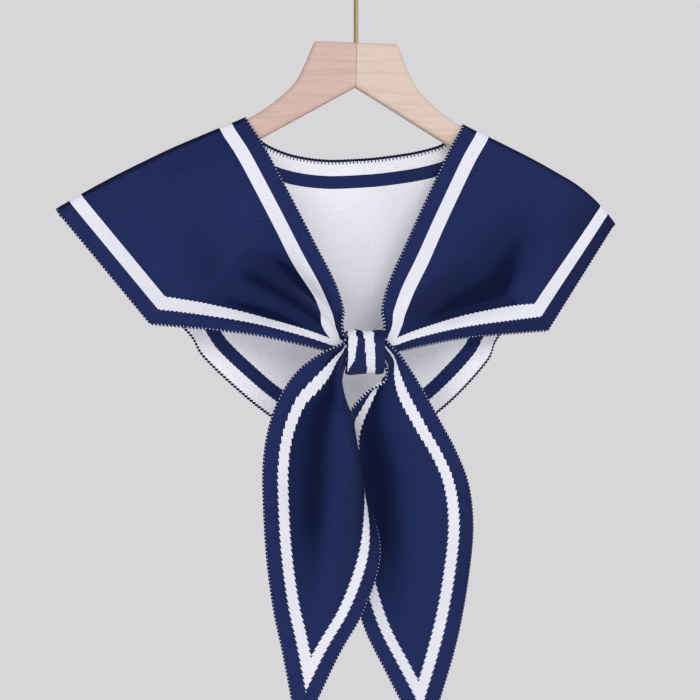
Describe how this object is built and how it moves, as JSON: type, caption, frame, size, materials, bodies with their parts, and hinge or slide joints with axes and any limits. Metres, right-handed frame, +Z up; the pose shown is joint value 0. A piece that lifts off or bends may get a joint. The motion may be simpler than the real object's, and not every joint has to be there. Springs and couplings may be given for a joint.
{
  "type": "sailor collar on a clothes hanger",
  "caption": "Knitted sailor collar with broad front wings, a back that narrows to a blunt point and a knotted front with long pointed tails, hung on a wooden clothes hanger with a wire hook.",
  "frame": {"origin": "top of the inside of the hook, where a rail carries the hanger", "axes": "+Z up, +Y from the collar's front to its back, +X to the right as seen from the front"},
  "size_m": [0.4985, 0.0965, 0.714],
  "materials": {
    "left_wood": "pale pinkish wood, bare and sanded",
    "right_wood": "pale wood, bare and sanded",
    "hook_wire": "polished, gold-coloured",
    "collar_knit": "double knit, navy face with a white stripe, white reverse with a navy stripe",
    "knot_knit": "double knit, navy with white stripes",
    "tail_knit": "double knit, navy face with a white stripe, white reverse with a navy stripe"
  },
  "bodies": {
    "root": {"hanger_left_half": "left_wood", "hanger_right_half": "right_wood", "hanger_hook": "hook_wire", "collar_panel": "collar_knit", "knot_band": "knot_knit", "left_tail": "tail_knit", "right_tail": "tail_knit"}
  },
  "joints": []
}
